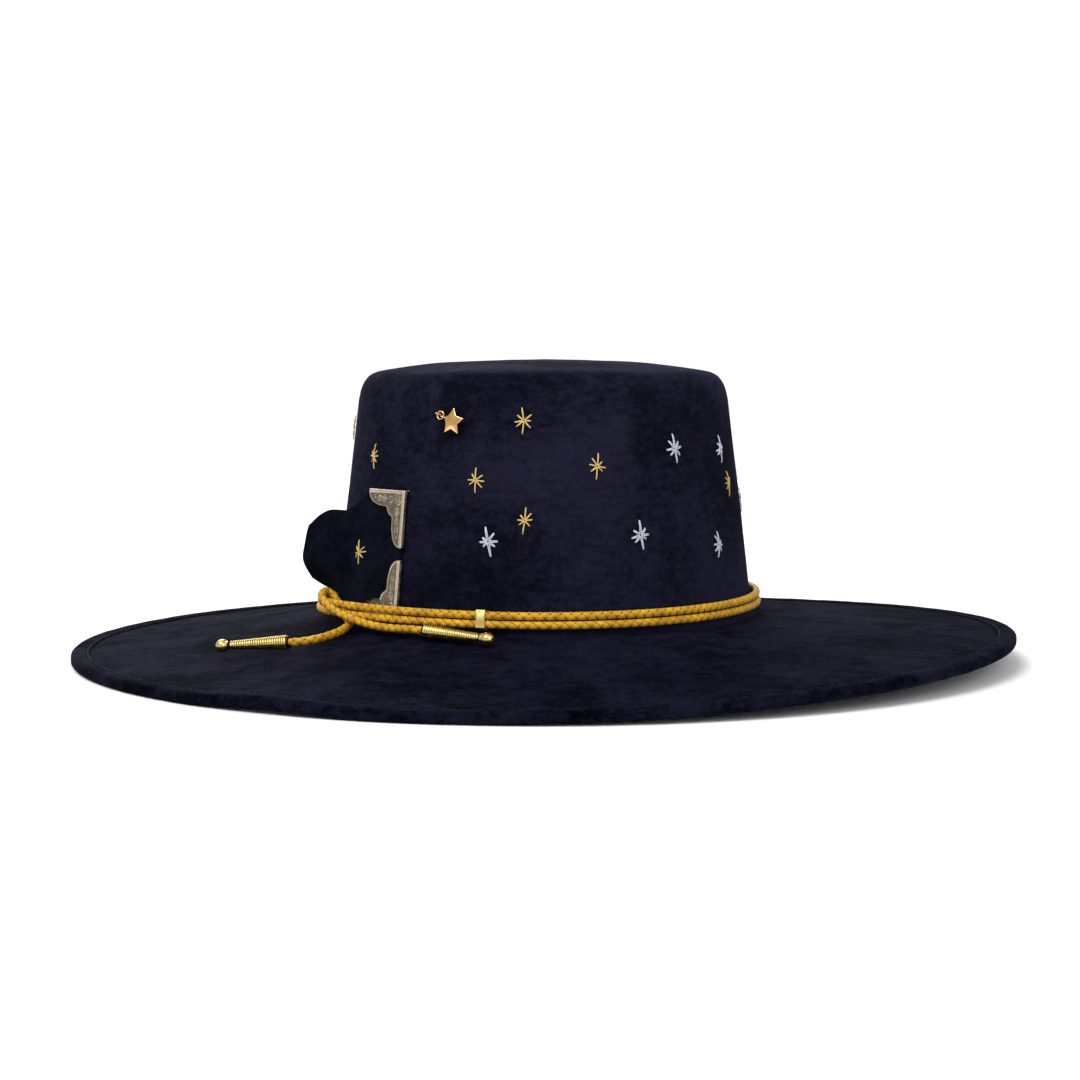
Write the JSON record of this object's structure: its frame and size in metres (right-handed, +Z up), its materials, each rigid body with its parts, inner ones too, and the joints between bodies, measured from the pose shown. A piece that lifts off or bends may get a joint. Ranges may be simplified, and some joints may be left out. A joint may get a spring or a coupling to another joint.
{
  "type": "wide-brim hat",
  "caption": "Wide-brimmed flat-crowned navy suede hat with a double gold cord band, velvet side flap, embroidered stars and a swinging star charm.",
  "frame": {"origin": "middle of the lowest plane of the brim's edge, under the middle of the crown", "axes": "+Z up; the hat's front faces -Y and +X is on the viewer's right"},
  "size_m": [0.398, 0.418, 0.1256],
  "materials": {
    "navy_suede": "napped, matt with a soft bluish sheen",
    "felt_core": "stiffened felt",
    "satin_lining": "satin",
    "sweatband_leather": "smooth, satin",
    "reed_plastic": "matt",
    "bow_ribbon": "ribbed ribbon",
    "spring_wire": "drawn wire",
    "black_velvet": "short dense pile",
    "antique_gold": "embossed, silvery gold with dark recesses",
    "gold_cord": "braided, satin",
    "brass": "polished",
    "gold_thread": "metallic embroidery thread",
    "silver_thread": "metallic embroidery thread",
    "charm_gold": "polished, rose gold"
  },
  "bodies": {
    "root": {"band_cord_lower_turn": "gold_cord", "band_cord_upper_turn": "gold_cord", "brim_edge_hem": "navy_suede", "brim_edge_wire": "spring_wire", "brim_stiffener": "felt_core", "brim_suede_lower": "navy_suede", "brim_suede_upper": "navy_suede", "charm_thread": "gold_thread", "cord_knot": "gold_cord", "cord_tail_left": "gold_cord", "cord_tail_right": "gold_cord", "cord_tip_left": "brass", "cord_tip_right": "brass", "corner_guard_lower": "antique_gold", "corner_guard_upper": "antique_gold", "crown_stiffener": "felt_core", "crown_suede": "navy_suede", "lining_side": "satin_lining", "lining_tip": "satin_lining", "star_gold_back_left": "gold_thread", "star_gold_back_low": "gold_thread", "star_gold_back_right": "gold_thread", "star_gold_far_right": "gold_thread", "star_gold_flap": "gold_thread", "star_gold_front_high": "gold_thread", "star_gold_front_left": "gold_thread", "star_gold_front_low": "gold_thread", "star_gold_front_right": "gold_thread", "star_gold_left_back_high": "gold_thread", "star_gold_left_high": "gold_thread", "star_gold_side_left": "gold_thread", "star_gold_side_right": "gold_thread", "star_silver_back": "silver_thread", "star_silver_back_left": "silver_thread", "star_silver_back_right": "silver_thread", "star_silver_far_right_high": "silver_thread", "star_silver_far_right_low": "silver_thread", "star_silver_front_low": "silver_thread", "star_silver_right_high": "silver_thread", "star_silver_right_low": "silver_thread", "star_silver_side_left": "silver_thread", "star_silver_side_right": "silver_thread", "sweatband": "sweatband_leather", "sweatband_bow": "bow_ribbon", "sweatband_reed": "reed_plastic", "velvet_flap": "black_velvet"},
    "keeper": {"band_keeper": "brass"},
    "charm_ring": {"charm_jump_ring": "charm_gold"},
    "charm": {"charm_star": "charm_gold"}
  },
  "joints": [
    {"name": "keeper_slide", "type": "hinge", "parent": "root", "child": "keeper", "pos_m": [0.00074, -0.03124, 0.02555], "axis": [0, 0, 1], "range_deg": [-6, 6]},
    {"name": "charm_ring_lift", "type": "hinge", "parent": "root", "child": "charm_ring", "pos_m": [-0.04136, -0.08578, 0.10418], "axis": [-0.3664, 0.1281, -0.9216], "range_deg": [0, 75]},
    {"name": "charm_swing", "type": "hinge", "parent": "charm_ring", "child": "charm", "pos_m": [-0.03908, -0.08755, 0.10303], "axis": [-0.5736, -0.811, 0.1153], "range_deg": [-35, 30]}
  ]
}
